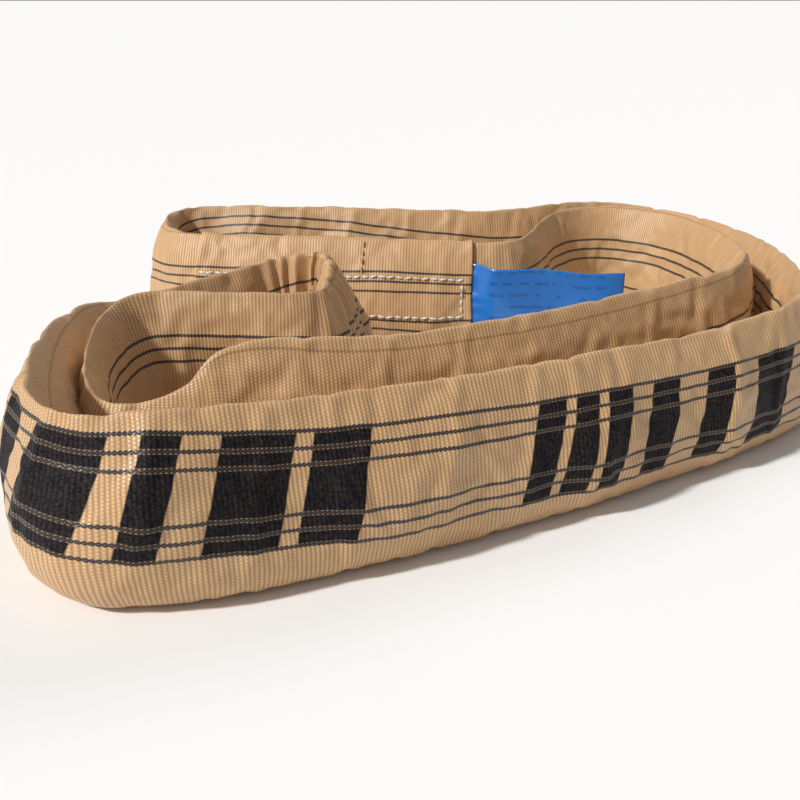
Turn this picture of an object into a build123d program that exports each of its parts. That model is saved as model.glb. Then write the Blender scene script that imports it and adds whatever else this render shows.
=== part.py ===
"""A 6 tonne polyester round sling of 1 m working length, coiled and standing on edge.

The sling is one endless strand, 2 m round. Pulled out it is a double strand with a bight at
each end, and here the double strand is coiled into a C. The front bight ends up at the middle
left of the coil and the back bight at the back left.
X is to the right, Y to the back and Z up. The origin is on the floor under the middle of
the coil.
"""

import os

from build123d import *

os.makedirs("parts", exist_ok=True)

# Cover: a woven tube, 77 mm wide when pressed flat, standing on edge.
COVER_HEIGHT = 67.0
COVER_HALF_WIDTH = 12.2
COVER_FOOT = 6.0  # half of the flat strip that rests on the floor
WIDEST_AT = 0.42  # share of the height at which the section is widest
FABRIC = 1.2

# Joining sleeve: a short length of tube sewn over the two ends of the cover.
SLEEVE_LENGTH = 150.0
SLEEVE_END_INSET = 18.0  # from the right corner of the sleeve's run to the sleeve's right end
TUCK = 2.0  # how much smaller the cover is drawn in under the sleeve
SHOULDER = 2.0  # length of cover over which it is drawn in
COVER_END_GAP = 6.0  # between the cover's two ends, under the sleeve

# Core: yarn bundles that lie on each other and fill the cover.
CORE_CLEARANCE = 1.2
CORE_INSET = TUCK + FABRIC + CORE_CLEARANCE  # from the cover's outline to the core's outline
CORE_LEVELS = [4.4, 12.5, 20.5, 28.5, 36.5, 44.5, 60.0]
BUNDLE_GAP = 0.3
TAPE = 0.5
TAPE_LENGTH = 45.0
TAPE_CLEARANCE = 0.3

# Sewing on the sleeve, as rows of stitches on both of its faces.
SEAM_LEVELS = {"upper": 43.0, "lower": 22.0}
STITCH_PITCH = 4.6
STITCH_LENGTH = 3.4
STITCH_RADIUS = 0.45
TACKS = {  # distance from the sleeve's left end, lowest and highest stitch
    "cross": (86.0, 46.5, 62.0),
    "label": (144.0, 25.2, 40.0),
}

# Identification label, sewn in under the sleeve's right end.
LABEL_FLAP = 76.0
LABEL_TAIL = 12.0
LABEL_LEVELS = (16.0, 50.0)
LABEL_THICKNESS = 0.5
LABEL_CORNER = 1.5
LABEL_GAP = 1.0  # between the sleeve and the label's hinge line
LABEL_STAND_OFF = 0.4  # between the strand's widest and the free half's back

# Route of the strand in plan: each corner, with the radius of the bend there.
# The inner strand runs from the sleeve round the right and the left of the coil.
INNER_ROUTE = [
    ((39, 62), 22),
    ((74, 127), 32),
    ((131, 120), 35),
    ((142, 29), 50),
    ((120, -13), 50),
    ((13, -85), 210),
    ((-80, -114), 50),
    ((-124, -117), 32),
    ((-126, -36), 32),
    ((-44, -36), 32),
]
# The outer strand runs back from the front bight to the back one.
OUTER_ROUTE = [
    ((-44, 31), 32),
    ((-88, 31), 22),
    ((-116, -3), 48),
    ((-155, -17), 38),
    ((-158, -129), 46),
    ((-118, -159), 50),
    ((-50, -145), 168),
    ((34, -110), 252),
    ((160, -34), 59),
    ((172, 63), 101),
    ((157, 149), 40),
    ((88, 159), 59),
    ((34, 130), 84),
    ((-67, 139), 210),
    ((-164, 157), 28),
    ((-143, 94), 24),
]
ROUTE_MIDDLE = Vector(6.778, 0.669)

corners = [Vector(*point) - ROUTE_MIDDLE for point, _ in INNER_ROUTE + OUTER_ROUTE]
radii = [radius for _, radius in INNER_ROUTE + OUTER_ROUTE]

# The sleeve's run is the straight between the last corner and the first.
along = (corners[0] - corners[-1]).normalized()
side = Vector(0, 0, 1).cross(along)  # towards the back of the coil
sleeve_right = corners[0] - along * SLEEVE_END_INSET
sleeve_left = sleeve_right - along * SLEEVE_LENGTH
sleeve_middle = (sleeve_left + sleeve_right) * 0.5


def upright(point):
    """Plane square to the sleeve's run, with its own Y up and its own X to the back."""
    return Plane(origin=point, x_dir=side, z_dir=along)


def oval(plane, inset=0.0):
    """Cover's pointed oval: flat foot, round flanks, and the tube's pressed edge at the top."""
    flank_level = COVER_HEIGHT * WIDEST_AT
    with BuildSketch(plane) as section:
        with BuildLine():
            Line((-COVER_FOOT, 0), (COVER_FOOT, 0))
            ThreePointArc((COVER_FOOT, 0), (COVER_HALF_WIDTH, flank_level), (0, COVER_HEIGHT))
            ThreePointArc((-COVER_FOOT, 0), (-COVER_HALF_WIDTH, flank_level), (0, COVER_HEIGHT))
        make_face()
        if inset:
            offset(amount=-inset, kind=Kind.INTERSECTION, mode=Mode.REPLACE)
    return section.sketch


def level_slice(sketch, plane, low, high):
    """The part of a section between two levels."""
    with BuildSketch(plane) as band:
        with Locations((0, (low + high) / 2)):
            Rectangle(COVER_HALF_WIDTH * 4, high - low)
    return sketch & band.sketch


def finish(part, label):
    part.label = label
    export_step(part, f"parts/{label}.step")
    print(f"{label}: {len(part.solids())} solids, {part.volume / 1000:.2f} cm3")


# ---- routes ----

with BuildLine() as cover_line:
    FilletPolyline(sleeve_right + along * SHOULDER, *corners, sleeve_left - along * SHOULDER, radius=radii)
cover_route = cover_line.wires()[0]

with BuildLine() as core_line:
    FilletPolyline(sleeve_right, *corners, sleeve_left, radius=radii)
    Line(sleeve_left, sleeve_right)
core_route = core_line.wires()[0]
print(f"strand {core_route.length:.0f} mm round")

# ---- cover, and the sleeve that joins its two ends ----

with BuildPart() as cover_tube:
    start = cover_route @ 0
    sweep(sections=oval(upright(start)), path=cover_route)
    sweep(sections=oval(upright(start), FABRIC), path=cover_route, mode=Mode.SUBTRACT)
    tuck_length = SLEEVE_LENGTH / 2 - COVER_END_GAP / 2
    for end, inward in ((sleeve_right, -1), (sleeve_left, 1)):
        shoulder_start = end - along * inward * SHOULDER
        extrude(oval(upright(shoulder_start)), amount=SHOULDER * inward)
        extrude(oval(upright(end), TUCK), amount=tuck_length * inward)
        extrude(
            oval(upright(shoulder_start), TUCK + FABRIC),
            amount=(tuck_length + SHOULDER) * inward,
            mode=Mode.SUBTRACT,
        )
finish(cover_tube.part, "cover_tube")

with BuildPart() as joining_sleeve:
    extrude(oval(upright(sleeve_left)), amount=SLEEVE_LENGTH)
    extrude(oval(upright(sleeve_left), FABRIC), amount=SLEEVE_LENGTH, mode=Mode.SUBTRACT)
finish(joining_sleeve.part, "joining_sleeve")

# ---- core ----

core_plane = upright(core_route @ 0)
for number, (low, high) in enumerate(zip(CORE_LEVELS, CORE_LEVELS[1:]), start=1):
    slice_low = low + BUNDLE_GAP / 2
    slice_high = high - BUNDLE_GAP / 2
    bundle_section = level_slice(oval(core_plane, CORE_INSET), core_plane, slice_low, slice_high)
    with BuildPart() as core_bundle:
        sweep(sections=bundle_section, path=core_route)
    finish(core_bundle.part, f"core_bundle_{number}")

# Tape round the bundles, holding the yarn's free ends.
tape_plane = upright(sleeve_middle - along * TAPE_LENGTH / 2)
with BuildPart() as core_tape:
    extrude(oval(tape_plane, CORE_INSET - TAPE_CLEARANCE - TAPE), amount=TAPE_LENGTH)
    extrude(oval(tape_plane, CORE_INSET - TAPE_CLEARANCE), amount=TAPE_LENGTH, mode=Mode.SUBTRACT)
finish(core_tape.part, "core_tape")

# ---- label ----

label_low, label_high = LABEL_LEVELS
label_height = label_high - label_low
label_lateral = COVER_HALF_WIDTH + LABEL_STAND_OFF + LABEL_THICKNESS / 2
hinge_foot = sleeve_right + along * LABEL_GAP - side * label_lateral
flap_plane = Plane(
    origin=hinge_foot + along * LABEL_FLAP / 2 + Vector(0, 0, (label_low + label_high) / 2),
    x_dir=along,
    z_dir=side,
)
print(f"label hinge {hinge_foot.X / 1000:.5f} {hinge_foot.Y / 1000:.5f}")
with BuildPart() as label_flap:
    with BuildSketch(flap_plane):
        RectangleRounded(LABEL_FLAP, label_height, LABEL_CORNER)
    extrude(amount=LABEL_THICKNESS / 2, both=True)
finish(label_flap.part, "label_flap")

# The sewn half lies between the sleeve and the drawn-in cover, on the front face.
tail_clearance = (TUCK - FABRIC - LABEL_THICKNESS) / 2
tail_plane = upright(sleeve_right - along * LABEL_TAIL)
tail_outer = level_slice(oval(tail_plane, FABRIC + tail_clearance), tail_plane, label_low, label_high)
with BuildPart() as label_tail:
    extrude(tail_outer, amount=LABEL_TAIL)
    extrude(oval(tail_plane, TUCK - tail_clearance), amount=LABEL_TAIL, mode=Mode.SUBTRACT)
    split(bisect_by=Plane(origin=sleeve_middle, z_dir=-side), keep=Keep.TOP)
finish(label_tail.part, "label_tail")

# ---- sewing ----


def half_width(level):
    """From the middle of the section to its flank at a level."""
    with BuildLine() as ruler:
        Line((0, level), (COVER_HALF_WIDTH * 2, level))
    return (oval(Plane.XY) & ruler.line).edges()[0].length


def stitch(distance, level, face, direction):
    """A stitch on the sleeve so far from its left end, along the sleeve or upright."""
    lateral = half_width(level) + STITCH_RADIUS / 2
    middle = sleeve_left + along * distance + side * face * lateral + Vector(0, 0, level)
    start = middle - direction * STITCH_LENGTH / 2
    return Plane(origin=start, z_dir=direction)


for name, level in SEAM_LEVELS.items():
    count = int((SLEEVE_LENGTH - STITCH_LENGTH) / STITCH_PITCH)
    first = (SLEEVE_LENGTH - (count - 1) * STITCH_PITCH) / 2
    with BuildPart() as seam:
        for index in range(count):
            for face in (-1, 1):
                with BuildSketch(stitch(first + index * STITCH_PITCH, level, face, along)):
                    Circle(STITCH_RADIUS)
                extrude(amount=STITCH_LENGTH)
    finish(seam.part, f"seam_{name}")

# Upright rows on the front face: one ties the sleeve to the cover, one holds the label.
for name, (distance, low, high) in TACKS.items():
    with BuildPart() as seam:
        level = low
        while level < high:
            upward = Vector(0, 0, 1)
            inward = side * (half_width(level - STITCH_LENGTH / 2) - half_width(level + STITCH_LENGTH / 2))
            lean = (upward * STITCH_LENGTH + inward).normalized()
            with BuildSketch(stitch(distance, level, -1, lean)):
                Circle(STITCH_RADIUS)
            extrude(amount=STITCH_LENGTH)
            level += STITCH_PITCH
    finish(seam.part, f"seam_{name}")
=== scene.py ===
"""A coiled round sling: creased woven cover over yarn bundles, with its sleeve, sewing and label.

Lengths are in metres. X is to the right, Y to the back, Z up, and the floor is at zero.
"""

import math

import bpy
import numpy as np
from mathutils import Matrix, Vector


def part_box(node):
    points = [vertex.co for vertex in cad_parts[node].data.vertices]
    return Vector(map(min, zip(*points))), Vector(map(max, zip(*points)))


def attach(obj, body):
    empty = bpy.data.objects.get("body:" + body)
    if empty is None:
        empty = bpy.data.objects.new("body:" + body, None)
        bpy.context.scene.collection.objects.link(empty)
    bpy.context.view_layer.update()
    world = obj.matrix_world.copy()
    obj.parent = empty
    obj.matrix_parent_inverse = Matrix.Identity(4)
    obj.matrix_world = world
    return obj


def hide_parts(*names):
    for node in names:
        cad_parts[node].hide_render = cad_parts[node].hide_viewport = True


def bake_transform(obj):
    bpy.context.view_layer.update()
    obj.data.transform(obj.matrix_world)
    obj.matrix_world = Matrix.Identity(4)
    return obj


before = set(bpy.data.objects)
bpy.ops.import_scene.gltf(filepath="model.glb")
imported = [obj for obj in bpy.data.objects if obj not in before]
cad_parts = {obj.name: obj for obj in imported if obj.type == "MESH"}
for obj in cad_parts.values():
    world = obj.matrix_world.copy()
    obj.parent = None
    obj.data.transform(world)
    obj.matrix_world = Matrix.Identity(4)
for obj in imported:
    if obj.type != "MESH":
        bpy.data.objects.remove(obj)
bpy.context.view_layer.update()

MM = 0.001
FLAT_WIDTH = 77 * MM  # of the woven tube, pressed flat
ROUND = 2 * FLAT_WIDTH  # cloth once round the tube
RINGS = 720  # of the cover's mesh, round the strand
AROUND = 48  # points of each ring
ROUTE_SAMPLES = 6000  # points worked out along the route, to measure the cloth by
OUTLINE_SAMPLES = 80  # points up each side of a section's outline
WIDEST_AT = 0.36  # share of the height where the strand is thickest
SIM_FRAMES = 24
REACH = 12 * MM  # most that the drape may move a point
FLOOR_GAP = 0.4 * MM  # least height of the cover's points
CREASES = 8  # overlaid waves of creases
CREASE_PITCH = (30 * MM, 110 * MM)  # shortest and longest, along the cloth
CREASE_DEPTH = 2.3 * MM
SPARE_CREASE_DEPTH = 5 * MM  # more depth, times the share of spare cover
PLEAT = 14 * MM  # cloth in one pleat, where the cover is gathered
PLEAT_DEPTH = 15 * MM  # times the share of spare cover past PLEATED_FROM
PLEATED_FROM = 0.14
HOLD = 0.32  # how firmly the core holds the cover, from 0 to 1
LET_OUT = 0.05  # most that the drape may let the cloth out, both along and round the tube

# The strand's route, in millimetres. Each control point has its x and y, the height of the strand
# there, half of its thickness, how far its top leans to the left of travel, how far the cover is
# rolled round the core, and the share of spare cover gathered there.
ROUTE = [
    # sleeve's run and the right of the coil
    (-128, 88, 60, 15, 0, 0, 0.06),
    (-60, 75, 61, 15, 0, 0, 0.02),
    (4, 63, 60, 14, 0, 0, 0.02),
    (40, 60, 61, 12, 0, 0, 0.10),
    (62, 112, 66, 14, 0, 0, 0.10),
    (100, 128, 67, 14, 0, 2, 0.10),
    (136, 102, 67, 14, 0, 2, 0.10),
    (141, 40, 67, 14, 2, 0, 0.10),
    (131, -8, 66, 14, 3, -4, 0.10),
    # inner strand behind the front run
    (70, -46, 65, 14, -3, -8, 0.08),
    (10, -82, 65, 14, -5, -8, 0.06),
    (-50, -104, 65, 14, -5, -7, 0.08),
    (-96, -112, 71, 13, -4, -4, 0.12),
    (-116, -118, 50, 12, 0, 0, 0.10),
    # left curl
    (-147, -112, 48, 10, 4, 0, 0.10),
    (-147, -51, 69, 11, 8, 0, 0.10),
    (-112, -45, 68, 12, 0, 0, 0.06),
    (-74, -47, 67, 14, 0, 0, 0.12),
    # front bight
    (-56, -42, 66, 14, 7, 3, 0.30),
    (-52, 24, 69, 14, 10, 6, 0.40),
    (-88, 30, 65, 14, 9, 4, 0.30),
    (-116, 4, 62, 14, 2, 0, 0.12),
    # outer strand round the left and along the front
    (-150, -16, 57, 13, 3, 0, 0.12),
    (-164, -40, 62, 14, -4, -3, 0.12),
    (-162, -98, 66, 17, -7, -9, 0.10),
    (-149, -161, 67, 16, -3, -13, 0.07),
    (-108, -164, 66, 16, 2, -11, 0.06),
    (-50, -143, 63, 17, 0, -6, 0.05),
    (20, -114, 61, 17, 0, -4, 0.05),
    (90, -78, 58, 17, 0, -2, 0.05),
    (150, -42, 61, 16, 0, 0, 0.08),
    (167, 30, 61, 14, 0, 0, 0.10),
    (167, 86, 60, 14, 0, 0, 0.08),
    (148, 144, 59, 14, 0, 0, 0.10),
    (96, 157, 64, 14, 0, 0, 0.08),
    (40, 128, 63, 14, 0, 0, 0.08),
    (-20, 131, 65, 14, 0, 6, 0.06),
    (-90, 142, 66, 14, 0, 12, 0.10),
    # back bight
    (-158, 158, 63, 15, 0, 10, 0.16),
    (-156, 104, 62, 15, 0, 4, 0.16),
]
# Where the joining sleeve ends, in millimetres, and how far it lies outside the cover.
SLEEVE_LEFT = (-133, 91)
SLEEVE_RIGHT = (14, 64)
SLEEVE_LIFT = 1.5
SLEEVE_FLARE = 0.9  # more, at its ends

# Lines woven into each flat face, as distances from the tube's pressed edge.
LINES = [19.3, 24.7, 30.1, 46.9, 52.3, 57.7]
# Rows of sewing on the sleeve, as distances down each face from the pressed edge at the top.
SEAM_DEPTHS = {"upper": 22.3, "lower": 44.5}
STITCH_PITCH = 4.6
STITCH_LENGTH = 3.5
STITCH_RADIUS = 0.55
STITCH_LIFT = 2.1 * MM  # from the cover to a stitch
THREAD_RINGS = 7  # of one stitch's mesh
THREAD_SIDES = 8
CROSS_SEAM_AT = 0.61  # share of the sleeve's length
CROSS_SEAM_DEPTHS = (3, 20)
LABEL_SEAM_INSET = 6 * MM  # from the sleeve's right end
LABEL_SEAM_DEPTHS = (25, 42)

# Label: the piece that hangs free takes its length from the part.
LABEL_TAIL = 12 * MM  # sewn in under the sleeve
LABEL_WIDTH = 34 * MM
LABEL_COLUMNS = 64
LABEL_ROWS = 24
LABEL_STAND_OUT = 4.5 * MM  # from the part's hinge line

# Core
BUNDLES = 6
CORE_GAP = 1.2 * MM  # between the core and the cover
TAPE_INSET = 0.7 * MM  # from the cover's surface in to the tape
TAPE_MIDDLE = (-60, 77)
TAPE_LENGTH = 45 * MM
TAPE_HALF_RINGS = 8  # rings of the cover each side of the tape's middle

FLOOR = 600  # half of its side

# Weave
RIB = 1.55 * MM  # of the weave, across the tube
YARN = 1.2 * MM
INK_SLANT = 0.28  # of the printed marks, sideways for each unit of height

# Printed marks on the front run, in two groups: where each group begins, and where each of its
# marks starts and how wide it is, in millimetres of cloth along the strand.
LEFT_MARKS_FROM = (-166, -138)
RIGHT_MARKS_FROM = (12, -116)
LEFT_MARKS = [(0, 14), (24, 26), (60, 12), (84, 24), (114, 20)]
RIGHT_MARKS = [(0, 13), (17, 11), (32, 13), (56, 14), (86, 14), (118, 26)]


def spline(values, samples):
    """Closed quadratic B-spline through the run of control values."""
    values = np.asarray(values, float)
    count = len(values)
    place = np.arange(samples) / samples * count
    index = place.astype(int)
    part = (place - index)[:, None]
    before, here, after = (values[(index + step) % count] for step in (-1, 0, 1))
    return before * (1 - part) ** 2 / 2 + here * (0.5 + part - part**2) + after * part**2 / 2


class Strand:
    """The route, sampled so that each ring of the cover carries the same length of cloth."""

    def __init__(self, rings):
        fine = spline(ROUTE, ROUTE_SAMPLES)
        step = np.linalg.norm(np.roll(fine[:, :2], -1, 0) - fine[:, :2], axis=1)
        travelled = np.concatenate([[0], np.cumsum(step * (1 + fine[:, 6]))])
        self.cloth_length = travelled[-1] * MM
        self.path_length = step.sum() * MM
        wanted = np.arange(rings) / rings * travelled[-1]
        index = np.interp(wanted, travelled, np.arange(len(travelled)))
        closed = np.concatenate([fine, fine[:1]])
        columns = [np.interp(index, np.arange(len(closed)), closed[:, k]) for k in range(7)]
        self.middle = np.stack(columns[:2], 1) * MM
        self.height, self.half_width, self.lean, self.roll = (column * MM for column in columns[2:6])
        self.spare = columns[6]
        forward = np.roll(self.middle, -1, 0) - np.roll(self.middle, 1, 0)
        forward /= np.linalg.norm(forward, axis=1)[:, None]
        self.left = np.stack([-forward[:, 1], forward[:, 0]], 1)

    def ring_near(self, place):
        return int(np.linalg.norm(self.middle - np.array(place) * MM, axis=1).argmin())


def oval(height, half_width, places):
    """Points of a pointed oval, at shares of its outline from the middle of its foot up the left."""
    turn = np.linspace(0, math.pi, OUTLINE_SAMPLES)
    rise = (1 - np.cos(turn)) / 2
    bulge = np.sin(math.pi * rise ** (math.log(0.5) / math.log(WIDEST_AT))) ** (0.5 + 0.4 * rise)
    side = np.stack([bulge * half_width, rise * height], 1)
    loop = np.concatenate([side, side[::-1][1:] * [-1, 1]])
    step = np.linalg.norm(np.diff(loop, axis=0), axis=1)
    along = np.concatenate([[0], np.cumsum(step)])
    at = (places % 1) * along[-1]
    return np.stack([np.interp(at, along, loop[:, k]) for k in range(2)], 1)


def tube_points(strand, around):
    """Grid of points, ring by ring, of a tube that follows the strand."""
    places = np.arange(around) / around
    points = np.zeros((len(strand.middle), around, 3))
    for ring, middle in enumerate(strand.middle):
        height = strand.height[ring]
        section = oval(height, strand.half_width[ring], places + strand.roll[ring] / ROUND)
        sideways = section[:, 0] + strand.lean[ring] * section[:, 1] / height
        points[ring, :, :2] = middle + strand.left[ring] * sideways[:, None]
        points[ring, :, 2] = section[:, 1]
    return points


def crumple(points, strand):
    """Folds creases into the tube, and pleats where most cover is gathered."""
    random = np.random.default_rng(6)
    rings, around = points.shape[:2]
    u = np.arange(rings)[:, None] / rings * strand.cloth_length
    v = np.arange(around)[None] / around * ROUND
    crease = np.zeros((rings, around))
    for _ in range(CREASES):
        turns = round(strand.cloth_length / random.uniform(*CREASE_PITCH))
        slant = random.choice([-1, 0, 1])
        phase = random.uniform(0, math.pi)
        wave = np.sin(math.pi * (turns * u / strand.cloth_length + slant * v / ROUND) + phase)
        crease += 1 - 2 * np.abs(wave) ** 0.8
    spare = strand.spare[:, None]
    flank = np.sin(math.pi * 2 * v / ROUND) ** 2
    out = crease / CREASES**0.5 * (CREASE_DEPTH + SPARE_CREASE_DEPTH * spare) * flank
    unevenness = 1.6 * np.sin(2 * math.pi * u / (3.3 * PLEAT))
    pleat = np.sin(2 * math.pi * u / PLEAT + unevenness + 9 * v / ROUND)
    out += pleat * PLEAT_DEPTH * np.maximum(spare - PLEATED_FROM, 0) * (0.6 + 0.4 * flank)
    along = np.roll(points, -1, 0) - np.roll(points, 1, 0)
    outward = np.cross(np.roll(points, -1, 1) - np.roll(points, 1, 1), along)
    outward /= np.linalg.norm(outward, axis=2)[:, :, None]
    return points + outward * out[:, :, None]


def add_mesh(name, points, faces):
    mesh = bpy.data.meshes.new(name)
    mesh.from_pydata(np.reshape(points, (-1, 3)).tolist(), [], faces)
    mesh.polygons.foreach_set("use_smooth", [True] * len(faces))
    piece = bpy.data.objects.new(name, mesh)
    bpy.context.scene.collection.objects.link(piece)
    return piece


def add_tube(name, points, length, u_start=0.0, closed=True):
    """A tube from rings of points, with UVs in metres of cloth: u along the strand, v round it."""
    rings, around = points.shape[:2]
    spans = rings if closed else rings - 1
    ring, k = np.divmod(np.arange(spans * around), around)
    here = ring * around
    after = (ring + 1) % rings * around
    beside = (k + 1) % around
    faces = np.stack([here + k, here + beside, after + beside, after + k], 1)
    piece = add_mesh(name, points, faces.tolist())
    u = u_start + np.stack([ring, ring, ring + 1, ring + 1], 1) / spans * length
    v = np.stack([k, k + 1, k + 1, k], 1) / around * ROUND
    layer = piece.data.uv_layers.new(name="cloth")
    layer.data.foreach_set("uv", np.stack([u.ravel(), v.ravel()], 1).ravel())
    return piece


def subdivide(piece, levels):
    piece.modifiers.new("smooth", "SUBSURF").levels = levels
    piece.modifiers["smooth"].render_levels = levels


# ---- draping ----


def add_weights(cover, name, weights):
    group = cover.vertex_groups.new(name=name)
    for index, weight in enumerate(np.clip(weights, 0, 1).ravel()):
        group.add([index], float(weight), "REPLACE")


def hold(cover, strand):
    """Sets how firmly the core holds each point of the cover, and how much spare cloth it has."""
    random = np.random.default_rng(3)
    turns = np.arange(RINGS) / RINGS * 2 * math.pi
    patches = sum(np.sin(turns * count + random.uniform(0, 6)) for count in (31, 47, 68)) / 3
    edges = np.abs(2 * np.abs(np.arange(AROUND) / AROUND * 2 - 1) - 1) ** 6
    firm = HOLD * (1 + 0.1 * patches[:, None]) + 0.12 * edges[None] - 0.3 * strand.spare[:, None]
    add_weights(cover, "held", firm)
    add_weights(cover, "snug", np.repeat(1 - strand.spare[:, None] / LET_OUT, AROUND, 1))


def drape(cover):
    """Eases the creased cover by its spare cloth, its weight and a little pressure inside it.

    The creases come from crumple: this moves points by a millimetre or so. Returns where they end.
    """
    cloth = cover.modifiers.new("drape", "CLOTH")
    settings = cloth.settings
    settings.vertex_group_mass = "held"
    settings.vertex_group_shrink = "snug"
    settings.shrink_min = -LET_OUT
    settings.shrink_max = 0
    settings.pin_stiffness = 1
    settings.quality = 7
    settings.mass = 0.0002
    settings.tension_stiffness = 12
    settings.compression_stiffness = 12
    settings.shear_stiffness = 2
    settings.bending_stiffness = 0.3
    settings.tension_damping = 2
    settings.compression_damping = 2
    settings.shear_damping = 2
    settings.bending_damping = 0.4
    settings.air_damping = 2
    settings.effector_weights.gravity = 0.2
    settings.use_pressure = True
    settings.uniform_pressure_force = 0.1
    cloth.collision_settings.use_collision = False
    cloth.collision_settings.use_self_collision = False
    scene = bpy.context.scene
    scene.frame_start = 1
    scene.frame_end = SIM_FRAMES
    for step in range(1, SIM_FRAMES + 1):
        scene.frame_set(step)
    settled = np.empty(len(cover.data.vertices) * 3)
    cover.evaluated_get(bpy.context.evaluated_depsgraph_get()).data.vertices.foreach_get("co", settled)
    cover.modifiers.clear()
    cover.vertex_groups.clear()
    scene.frame_set(1)
    return settled.reshape(-1, 3)


def settle(cover, strand):
    """Drapes the cover, then keeps each point within reach of where it was laid and off the floor."""
    start = np.empty(len(cover.data.vertices) * 3)
    cover.data.vertices.foreach_get("co", start)
    start = start.reshape(-1, 3)
    hold(cover, strand)
    move = drape(cover) - start
    far = np.linalg.norm(move, axis=1)
    held = start + move * np.minimum(1, REACH / np.maximum(far, 1e-9))[:, None]
    held[:, 2] = np.maximum(held[:, 2], FLOOR_GAP)
    cover.data.vertices.foreach_set("co", held.ravel())


class Surface:
    """The settled cover as a grid, to lay other pieces on it."""

    def __init__(self, cover, strand):
        flat = np.empty(len(cover.data.vertices) * 3)
        cover.data.vertices.foreach_get("co", flat)
        self.points = flat.reshape(RINGS, AROUND, 3)
        along = np.roll(self.points, -1, 0) - np.roll(self.points, 1, 0)
        round_it = np.roll(self.points, -1, 1) - np.roll(self.points, 1, 1)
        normals = np.cross(round_it, along)
        for _ in range(2):
            beside = [np.roll(normals, step, axis) for step in (-1, 1) for axis in (0, 1)]
            normals = normals + sum(beside) / 2
        self.normals = normals / np.linalg.norm(normals, axis=2)[:, :, None]
        self.ring_length = strand.cloth_length / RINGS

    def at(self, ring, v, lift=0.0):
        """The point at a ring and a distance v round the cloth, raised off the surface."""
        ring = ring % RINGS
        column = v / ROUND * AROUND % AROUND
        ring_part = ring - int(ring)
        column_part = column - int(column)
        point = 0
        normal = 0
        for r, ring_share in ((int(ring), 1 - ring_part), (int(ring) + 1, ring_part)):
            for c, column_share in ((int(column), 1 - column_part), (int(column) + 1, column_part)):
                share = ring_share * column_share
                point = point + self.points[r % RINGS, c % AROUND] * share
                normal = normal + self.normals[r % RINGS, c % AROUND] * share
        return point + normal / np.linalg.norm(normal) * lift

    def front_place(self, ring, level):
        """How far round the cloth the front face comes down to a level."""
        heights = self.points[int(ring) % RINGS, AROUND // 2 :, 2]
        return np.interp(level, heights[::-1], np.arange(AROUND // 2, AROUND)[::-1] / AROUND * ROUND)


# ---- materials ----


class Nodes:
    """Short calls for building a material's node tree."""

    def __init__(self, name):
        self.material = bpy.data.materials.new(name)
        self.material.use_nodes = True
        self.tree = self.material.node_tree
        self.shader = self.tree.nodes["Principled BSDF"]

    def add(self, kind, **settings):
        node = self.tree.nodes.new("ShaderNode" + kind)
        for key, value in settings.items():
            setattr(node, key, value)
        return node

    def link(self, source, target):
        if isinstance(source, (int, float, tuple)):
            target.default_value = source
        else:
            self.tree.links.new(source, target)

    def math(self, operation, a, b=0.0, c=0.0):
        node = self.add("Math", operation=operation)
        for value, socket in zip((a, b, c), node.inputs):
            self.link(value, socket)
        return node.outputs[0]

    def wave(self, place, period, phase=0.0):
        """A sine of the given period, from 0 to 1."""
        turn = self.math("MULTIPLY_ADD", place, 2 * math.pi / period, phase)
        return self.math("MULTIPLY_ADD", self.math("SINE", turn), 0.5, 0.5)

    def near(self, distance, half_width, soft):
        """1 within half_width of zero, fading to 0 over the soft edge."""
        fade = self.add("MapRange", interpolation_type="SMOOTHSTEP")
        self.link(self.math("ABSOLUTE", distance), fade.inputs["Value"])
        fade.inputs["From Min"].default_value = half_width - soft
        fade.inputs["From Max"].default_value = half_width + soft
        fade.inputs["To Min"].default_value = 1.0
        fade.inputs["To Max"].default_value = 0.0
        return fade.outputs[0]

    def noise(self, vector, scale, detail=3.0):
        node = self.add("TexNoise")
        node.inputs["Scale"].default_value = scale
        node.inputs["Detail"].default_value = detail
        self.link(vector, node.inputs["Vector"])
        return node.outputs[0]

    def mix(self, share, a, b):
        node = self.add("Mix", data_type="RGBA")
        for value, socket in zip((share, a, b), (node.inputs[0], node.inputs[6], node.inputs[7])):
            self.link(value, socket)
        return node.outputs[2]

    def bump(self, height, strength, distance):
        node = self.add("Bump")
        node.inputs["Strength"].default_value = strength
        node.inputs["Distance"].default_value = distance
        self.link(height, node.inputs["Height"])
        self.link(node.outputs[0], self.shader.inputs["Normal"])

    def set(self, **sockets):
        for key, value in sockets.items():
            self.shader.inputs[key.replace("_", " ")].default_value = value


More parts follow.
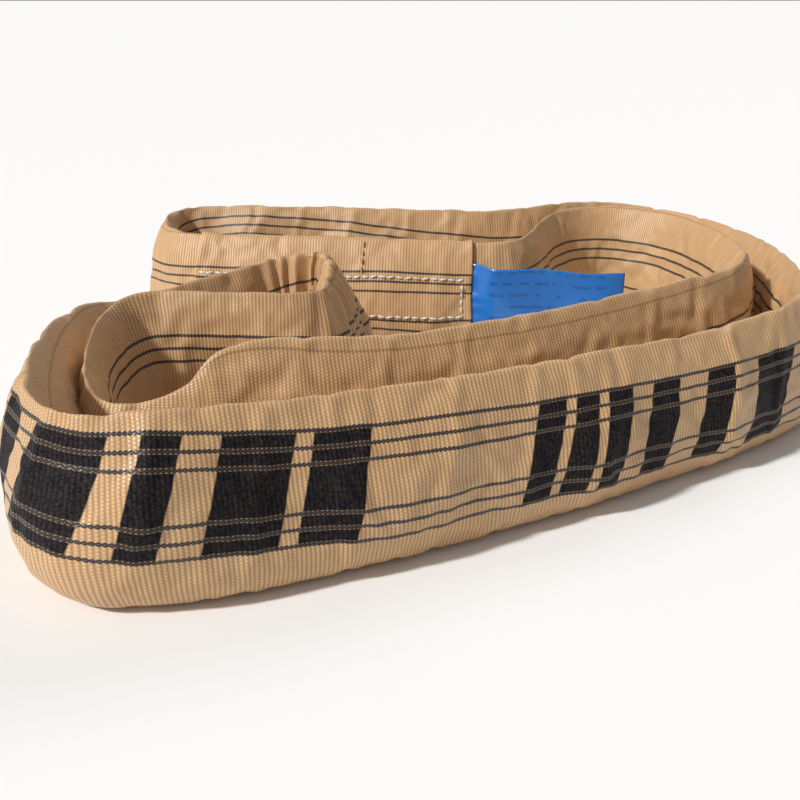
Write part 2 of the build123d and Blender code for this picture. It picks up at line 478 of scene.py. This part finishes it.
def cloth_material(name, marks=()):
    """Satin ribbed weave with painted shade in its rib grooves and along its pressed top edge, dark
    lines along it and printed marks, all placed in metres of cloth.
    """
    n = Nodes(name)
    uv = n.add("UVMap", uv_map="cloth")
    split = n.add("SeparateXYZ")
    n.link(uv.outputs[0], split.inputs[0])
    u, v = split.outputs[0], split.outputs[1]

    rib = n.math("POWER", n.wave(u, RIB), 0.7)
    rib_number = n.math("FLOOR", n.math("DIVIDE", u, RIB))
    yarn = n.wave(n.math("MULTIPLY_ADD", rib_number, YARN / 2, v), YARN)
    weave = n.math("MULTIPLY", rib, n.math("MULTIPLY_ADD", yarn, 0.6, 0.4))

    from_edge = n.math("MODULO", v, FLAT_WIDTH)
    twist = n.math("MULTIPLY", n.math("SUBTRACT", n.wave(u, 2 * RIB), 0.5), 0.8 * MM)
    line = 0.0
    band = 0.0
    for place in LINES:
        away = n.math("SUBTRACT", from_edge, place * MM)
        ply_a = n.near(n.math("ADD", away, twist), 0.36 * MM, 0.12 * MM)
        ply_b = n.near(n.math("SUBTRACT", away, twist), 0.36 * MM, 0.12 * MM)
        line = n.math("MAXIMUM", line, n.math("MAXIMUM", ply_a, ply_b))
        band = n.math("MAXIMUM", band, n.near(away, 0.75 * MM, 0.2 * MM))

    where = n.add("TexCoord").outputs["Object"]
    patch = n.noise(where, 14.0)
    fleck = n.noise(where, 900.0, 1.0)
    # The weave's own rib and yarn pattern, painted darker in the grooves between ribs as painted shade.
    shaded_tan = (0.27, 0.125, 0.05, 1)
    light = (0.83, 0.54, 0.275, 1)
    colour = n.mix(n.math("MULTIPLY_ADD", weave, 0.85, 0.15), shaded_tan, light)
    colour = n.mix(n.math("MULTIPLY", patch, 0.25), colour, (0.84, 0.56, 0.30, 1))
    # Painted shade: a thin darker line along the pressed crease at the top of the tube.
    pressed_edge_shade = n.near(n.math("SUBTRACT", v, FLAT_WIDTH), 0.5 * MM, 0.3 * MM)
    colour = n.mix(n.math("MULTIPLY", pressed_edge_shade, 0.5), colour, shaded_tan)
    colour = n.mix(n.math("MULTIPLY", line, 0.96), colour, (0.012, 0.017, 0.026, 1))

    ink = 0.0
    if marks:
        face = n.math("SUBTRACT", v, FLAT_WIDTH)
        inside = n.near(n.math("SUBTRACT", face, 38.5 * MM), 19.5 * MM, 0.3 * MM)
        slanted = n.math("MULTIPLY_ADD", face, INK_SLANT, u)
        for start, width in marks:
            bar = n.near(n.math("SUBTRACT", slanted, start + width / 2), width / 2, 0.35 * MM)
            ink = n.math("MAXIMUM", ink, bar)
        ink = n.math("MULTIPLY", ink, inside)
        ink = n.math("MULTIPLY", ink, n.math("SUBTRACT", 1.0, n.math("MULTIPLY", band, 0.55)))
        ink = n.math("MULTIPLY", ink, n.math("MULTIPLY_ADD", fleck, 0.12, 0.92))
        # The ink is the real print; its darker tone in the rib grooves is painted shade.
        shade = n.mix(weave, (0.003, 0.004, 0.007, 1), (0.009, 0.011, 0.017, 1))
        colour = n.mix(ink, colour, shade)
    n.link(colour, n.shader.inputs["Base Color"])
    rough = n.math("MULTIPLY_ADD", n.math("SUBTRACT", 1.0, weave), 0.25, 0.26)
    n.link(n.math("MAXIMUM", rough, n.math("MULTIPLY", ink, 0.55)), n.shader.inputs["Roughness"])
    height = n.math("ADD", n.math("MULTIPLY_ADD", line, 0.35, weave), n.math("MULTIPLY", patch, 0.6))
    n.bump(height, 0.55, 0.25 * MM)
    n.link(n.math("MULTIPLY_ADD", ink, -0.42, 0.5), n.shader.inputs["Specular IOR Level"])
    return n.material


def yarn_material(name, colour):
    n = Nodes(name)
    uv = n.add("UVMap", uv_map="cloth")
    split = n.add("SeparateXYZ")
    n.link(uv.outputs[0], split.inputs[0])
    slanted = n.math("MULTIPLY_ADD", split.outputs[0], 0.8, split.outputs[1])
    fibre = n.wave(slanted, 3.5 * MM)
    shade = tuple(channel * 0.6 for channel in colour)
    n.link(n.mix(fibre, (*shade, 1), (*colour, 1)), n.shader.inputs["Base Color"])
    n.bump(fibre, 0.8, 0.4 * MM)
    n.set(Roughness=0.6, Sheen_Weight=0.3)
    return n.material


def thread_material(name, colour):
    n = Nodes(name)
    where = n.add("TexCoord").outputs["Object"]
    ply = n.noise(where, 2400.0, 1.0)
    shade = tuple(channel * 0.65 for channel in colour)
    n.link(n.mix(ply, (*shade, 1), (*colour, 1)), n.shader.inputs["Base Color"])
    n.bump(ply, 0.5, 0.1 * MM)
    n.set(Roughness=0.45, Sheen_Weight=0.2)
    return n.material


def label_material():
    """Blue coated label with faint ruled rows, under a clear glossy skin."""
    n = Nodes("coated_label")
    uv = n.add("UVMap", uv_map="cloth")
    split = n.add("SeparateXYZ")
    n.link(uv.outputs[0], split.inputs[0])
    u, v = split.outputs[0], split.outputs[1]
    row = n.math("POWER", n.wave(v, 6.2 * MM), 6.0)
    fill = n.noise(uv.outputs[0], 260.0, 2.0)
    words = n.math("GREATER_THAN", fill, 0.49)
    inside = n.near(n.math("SUBTRACT", u, 50 * MM), 30 * MM, 1 * MM)
    printed = n.math("MULTIPLY", n.math("MULTIPLY", row, words), inside)
    patch = n.noise(uv.outputs[0], 45.0)
    blue = n.mix(patch, (0.004, 0.13, 0.50, 1), (0.010, 0.20, 0.66, 1))
    colour = n.mix(n.math("MULTIPLY", printed, 0.55), blue, (0.004, 0.035, 0.16, 1))
    n.link(colour, n.shader.inputs["Base Color"])
    weave = n.math("MULTIPLY", n.wave(u, 0.8 * MM), n.wave(v, 0.8 * MM))
    n.bump(n.math("MULTIPLY_ADD", patch, 3.0, weave), 0.25, 0.15 * MM)
    n.set(Roughness=0.38, Coat_Weight=0.6, Coat_Roughness=0.12)
    return n.material


def dress(piece, material):
    piece.data.materials.clear()
    piece.data.materials.append(material)


def ride(piece, *nodes):
    """Ties a piece to the sling, in place of the named nodes of the part."""
    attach(piece, "sling")
    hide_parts(*nodes)


# ---- camera, floor and light ----


def add_camera():
    camera = bpy.data.objects.new("camera", bpy.data.cameras.new("camera"))
    bpy.context.scene.collection.objects.link(camera)
    bpy.context.scene.camera = camera
    camera.location = (-0.0561, -0.4207, 0.1773)
    camera.rotation_euler = (math.radians(90 - 23.13), 0, math.radians(-3.6))
    camera.data.sensor_width = 36
    camera.data.lens = 42.1
    camera.data.clip_start = 0.01
    camera.data.clip_end = 2000


def add_sun(name, direction, strength, softness, colour=(1, 1, 1)):
    sun = bpy.data.objects.new(name, bpy.data.lights.new(name, "SUN"))
    sun.data.energy = strength
    sun.data.angle = math.radians(softness)
    sun.data.color = colour
    sun.rotation_euler = Vector(direction).to_track_quat("-Z", "Y").to_euler()
    bpy.context.scene.collection.objects.link(sun)


def add_studio():
    corners = [(-FLOOR, -FLOOR, 0), (FLOOR, -FLOOR, 0), (FLOOR, FLOOR, 0), (-FLOOR, FLOOR, 0)]
    floor = add_mesh("floor", corners, [(0, 1, 2, 3)])
    n = Nodes("pale_floor")
    n.set(Base_Color=(0.93, 0.93, 0.93, 1), Roughness=0.9, Specular_IOR_Level=0.1)
    floor.data.materials.append(n.material)
    world = bpy.data.worlds.new("studio")
    world.use_nodes = True
    world.node_tree.nodes["Background"].inputs["Color"].default_value = (0.96, 0.98, 1, 1)
    world.node_tree.nodes["Background"].inputs["Strength"].default_value = 0.28
    bpy.context.scene.world = world
    bpy.context.scene.view_settings.view_transform = "Standard"
    add_sun("key", (0.85, 0.38, -0.78), 3.2, 5, (1, 0.98, 0.95))
    add_sun("rim", (-0.5, -0.8, -0.9), 0.6, 25)


# ---- the sling ----


def add_cover(strand):
    points = crumple(tube_points(strand, AROUND), strand)
    points[:, :, 2] = np.maximum(points[:, :, 2], FLOOR_GAP)
    cover = add_tube("cover_fabric", points, strand.cloth_length)
    settle(cover, strand)
    return cover


def front_marks(strand):
    """The marks' places along the cloth, in metres: one group at the left, one at the right."""
    ring_length = strand.cloth_length / RINGS
    marks = []
    for first, group in ((LEFT_MARKS_FROM, LEFT_MARKS), (RIGHT_MARKS_FROM, RIGHT_MARKS)):
        start = strand.ring_near(first) * ring_length
        marks += [(start + place * MM, width * MM) for place, width in group]
    return marks


def add_sleeve(surface, rings):
    """The joining sleeve: the cover's own shape, one cloth further out, with slightly flared ends."""
    first, last = rings
    spans = last - first
    points = []
    for step in range(spans + 1):
        end = min(step, spans - step)
        lift = (SLEEVE_LIFT + SLEEVE_FLARE * math.exp(-end / 2.5) + 0.25 * math.sin(step * 0.9)) * MM
        points.append([surface.at(first + step, k / AROUND * ROUND, lift) for k in range(AROUND)])
    points = np.array(points)
    points[:, :, 2] = np.maximum(points[:, :, 2], 0.3 * MM)
    length = spans * surface.ring_length
    start = first * surface.ring_length
    sleeve = add_tube("sleeve_fabric", points, length, u_start=start, closed=False)
    shell = sleeve.modifiers.new("cloth", "SOLIDIFY")
    shell.thickness = 0.9 * MM
    shell.offset = -1
    subdivide(sleeve, 1)
    return sleeve


def stitch_points(start, end, out):
    """Rings of points of one stitch: a short thread that dips into the cloth at both ends."""
    along = (end - start) / np.linalg.norm(end - start)
    side = np.cross(along, out)
    rings = []
    for place in np.linspace(0, 1, THREAD_RINGS):
        crown = math.sin(math.pi * place)
        radius = STITCH_RADIUS * MM * (0.35 + 0.65 * crown**0.5)
        middle = start + (end - start) * place + out * (crown - 0.6) * 0.35 * MM
        turns = np.linspace(0, 2 * math.pi, THREAD_SIDES, endpoint=False)
        rings.append([middle + radius * (math.cos(t) * side + math.sin(t) * out) for t in turns])
    return rings


def add_stitches(name, surface, ends):
    """One mesh of stitches; each end is a pair of (ring, v) places on the cloth."""
    points = []
    faces = []
    for first, last in ends:
        start, end = (surface.at(*place, STITCH_LIFT) for place in (first, last))
        out = surface.at(*first, 1.0) - surface.at(*first)
        base = len(points)
        for ring in stitch_points(start, end, out):
            points += ring
        for ring in range(base, len(points) - THREAD_SIDES, THREAD_SIDES):
            for k in range(THREAD_SIDES):
                a = ring + k
                b = ring + (k + 1) % THREAD_SIDES
                faces.append((a, b, b + THREAD_SIDES, a + THREAD_SIDES))
        faces.append(tuple(range(base + THREAD_SIDES - 1, base - 1, -1)))
        faces.append(tuple(range(len(points) - THREAD_SIDES, len(points))))
    return add_mesh(name, points, faces)


def row_ends(surface, rings, depth):
    """A row along the sleeve on both faces, each stitch a little slanted, the next one the other way."""
    first, last = rings
    pitch = STITCH_PITCH * MM / surface.ring_length
    reach = STITCH_LENGTH * MM / surface.ring_length
    ends = []
    for number in range(int((last - first - reach) / pitch)):
        ring = first + 0.4 * pitch + number * pitch
        slant = 0.35 * MM * (-1) ** number
        for v in (FLAT_WIDTH + depth * MM, FLAT_WIDTH - depth * MM):
            ends.append(((ring, v - slant), (ring + reach, v + slant)))
    return ends


def upright_ends(ring, low, high):
    """A row up the sleeve's front face, between two depths below the pressed edge."""
    ends = []
    for depth in np.arange(low, high, STITCH_PITCH):
        top = (ring, FLAT_WIDTH + depth * MM)
        foot = (ring + 0.15, FLAT_WIDTH + (depth + STITCH_LENGTH) * MM)
        ends.append((top, foot))
    return ends


def label_point(surface, last_ring, distance, z, flown, row_share, hinge, away):
    """A point of the label at a distance from its hinge line: sewn in, free, or between the two."""
    side = np.array([away[1], -away[0], 0])
    free = hinge + away * distance + np.array([0, 0, z])
    curl = 1.6 * math.sin(flown * 8.5 + row_share) * flown - 2.0 * flown**2
    free = free + side * (LABEL_STAND_OUT + curl * MM)
    free[2] -= (1.2 * flown**2 + 0.5 * math.sin(flown * 11)) * MM
    ring = last_ring + min(distance, 0) / surface.ring_length
    sewn = surface.at(ring, surface.front_place(ring, z), 0.9 * MM)
    sewn = sewn + away * max(distance, 0)
    change = min(max((distance + 1 * MM) / (12 * MM), 0), 1)
    change = change * change * (3 - 2 * change)
    return sewn * (1 - change) + free * change


def add_label(surface, last_ring):
    """The label: its sewn end lies under the sleeve, its free end stands out from the strand."""
    low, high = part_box("label_flap")
    length = math.hypot(high[0] - low[0], high[1] - low[1])
    hinge = np.array([low[0], high[1], 0])
    away = np.array([high[0] - low[0], low[1] - high[1], 0]) / length
    whole = LABEL_TAIL + length
    points = []
    for column in range(LABEL_COLUMNS + 1):
        distance = -LABEL_TAIL + whole * column / LABEL_COLUMNS
        flown = max(distance, 0) / length
        for row in range(LABEL_ROWS + 1):
            share = row / LABEL_ROWS
            z = low[2] + LABEL_WIDTH * row / LABEL_ROWS
            points.append(label_point(surface, last_ring, distance, z, flown, share, hinge, away))
    rows = LABEL_ROWS + 1
    corners = [column * rows + row for column in range(LABEL_COLUMNS) for row in range(LABEL_ROWS)]
    faces = [(corner, corner + rows, corner + rows + 1, corner + 1) for corner in corners]
    label = add_mesh("label_sheet", points, faces)
    layer = label.data.uv_layers.new(name="cloth")
    for loop in label.data.loops:
        column, row = divmod(loop.vertex_index, rows)
        layer.data[loop.index].uv = (whole * column / LABEL_COLUMNS, LABEL_WIDTH * row / LABEL_ROWS)
    shell = label.modifiers.new("film", "SOLIDIFY")
    shell.thickness = 0.5 * MM
    shell.offset = 0
    return label, hinge, away


def add_bundles(surface, strand, material):
    """The core's yarn bundles, two by two from the foot up, in the room that the cover leaves."""
    lateral = ((surface.points[:, :, :2] - strand.middle[:, None]) * strand.left[:, None]).sum(2)
    turns = np.linspace(0, 2 * math.pi, 12, endpoint=False)
    for number in range(BUNDLES):
        row, column = divmod(number, 2)
        level = strand.height * (0.22 + 0.19 * row)
        lean = strand.lean * level / strand.height
        beside = np.abs(surface.points[:, :, 2] - level[:, None]) < 0.14 * strand.height[:, None]
        room = np.where(beside, np.abs(lateral - lean[:, None]), 1).min(1)
        room = np.min([np.roll(room, step) for step in range(-6, 7)], 0)
        room = np.mean([np.roll(room, step) for step in range(-4, 5)], 0) - CORE_GAP
        radius = np.minimum(room * 0.46, 0.09 * strand.height)[::2]
        across = (lean + (column - 0.5) * room)[::2]
        middle = strand.middle[::2] + strand.left[::2] * across[:, None]
        middle = np.concatenate([middle, level[::2, None]], 1)[:, None]
        sideways = np.cos(turns)[None, :, None] * np.pad(strand.left[::2], ((0, 0), (0, 1)))[:, None]
        upward = np.sin(turns)[None, :, None] * np.array([0, 0, 1])
        points = middle + (sideways + upward) * radius[:, None, None]
        bundle = add_tube(f"yarn_bundle_{number + 1}", points, strand.path_length)
        dress(bundle, material)
        ride(bundle, f"core_bundle_{number + 1}")


def add_tape(surface, strand, material):
    """A few turns of tape round the bundles, half-way along the sleeve, just inside the cover."""
    middle = strand.ring_near(TAPE_MIDDLE)
    places = np.arange(AROUND) / AROUND * ROUND
    rings = range(middle - TAPE_HALF_RINGS, middle + TAPE_HALF_RINGS)
    points = np.array([[surface.at(ring, v, -TAPE_INSET) for v in places] for ring in rings])
    tape = add_tube("core_tape_wrap", points, TAPE_LENGTH, closed=False)
    tape.modifiers.new("cloth", "SOLIDIFY").thickness = 0.5 * MM
    subdivide(tape, 1)
    dress(tape, material)
    ride(tape, "core_tape")


add_camera()
add_studio()
strand = Strand(RINGS)
cover = add_cover(strand)
surface = Surface(cover, strand)
subdivide(cover, 1)
dress(cover, cloth_material("cover_weave", front_marks(strand)))
ride(cover, "cover_tube")

sleeve_rings = [strand.ring_near(place) for place in (SLEEVE_LEFT, SLEEVE_RIGHT)]
sleeve = add_sleeve(surface, sleeve_rings)
dress(sleeve, cloth_material("sleeve_weave"))
ride(sleeve, "joining_sleeve")

white_thread = thread_material("white_thread", (0.93, 0.93, 0.9))
tan_thread = thread_material("tan_thread", (0.55, 0.33, 0.15))
rows = {f"seam_{name}": row_ends(surface, sleeve_rings, depth) for name, depth in SEAM_DEPTHS.items()}
cross_ring = sleeve_rings[0] + CROSS_SEAM_AT * (sleeve_rings[1] - sleeve_rings[0])
label_ring = sleeve_rings[1] - LABEL_SEAM_INSET / surface.ring_length
rows["seam_cross"] = upright_ends(cross_ring, *CROSS_SEAM_DEPTHS)
rows["seam_label"] = upright_ends(label_ring, *LABEL_SEAM_DEPTHS)
for node, ends in rows.items():
    stitches = add_stitches(f"{node}_thread", surface, ends)
    dress(stitches, tan_thread if node == "seam_cross" else white_thread)
    ride(stitches, node)

label, hinge, away = add_label(surface, sleeve_rings[1])
dress(label, label_material())
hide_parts("label_flap", "label_tail")
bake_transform(label)

add_bundles(surface, strand, yarn_material("core_yarn", (0.80, 0.79, 0.73)))
add_tape(surface, strand, yarn_material("core_tape", (0.72, 0.70, 0.62)))
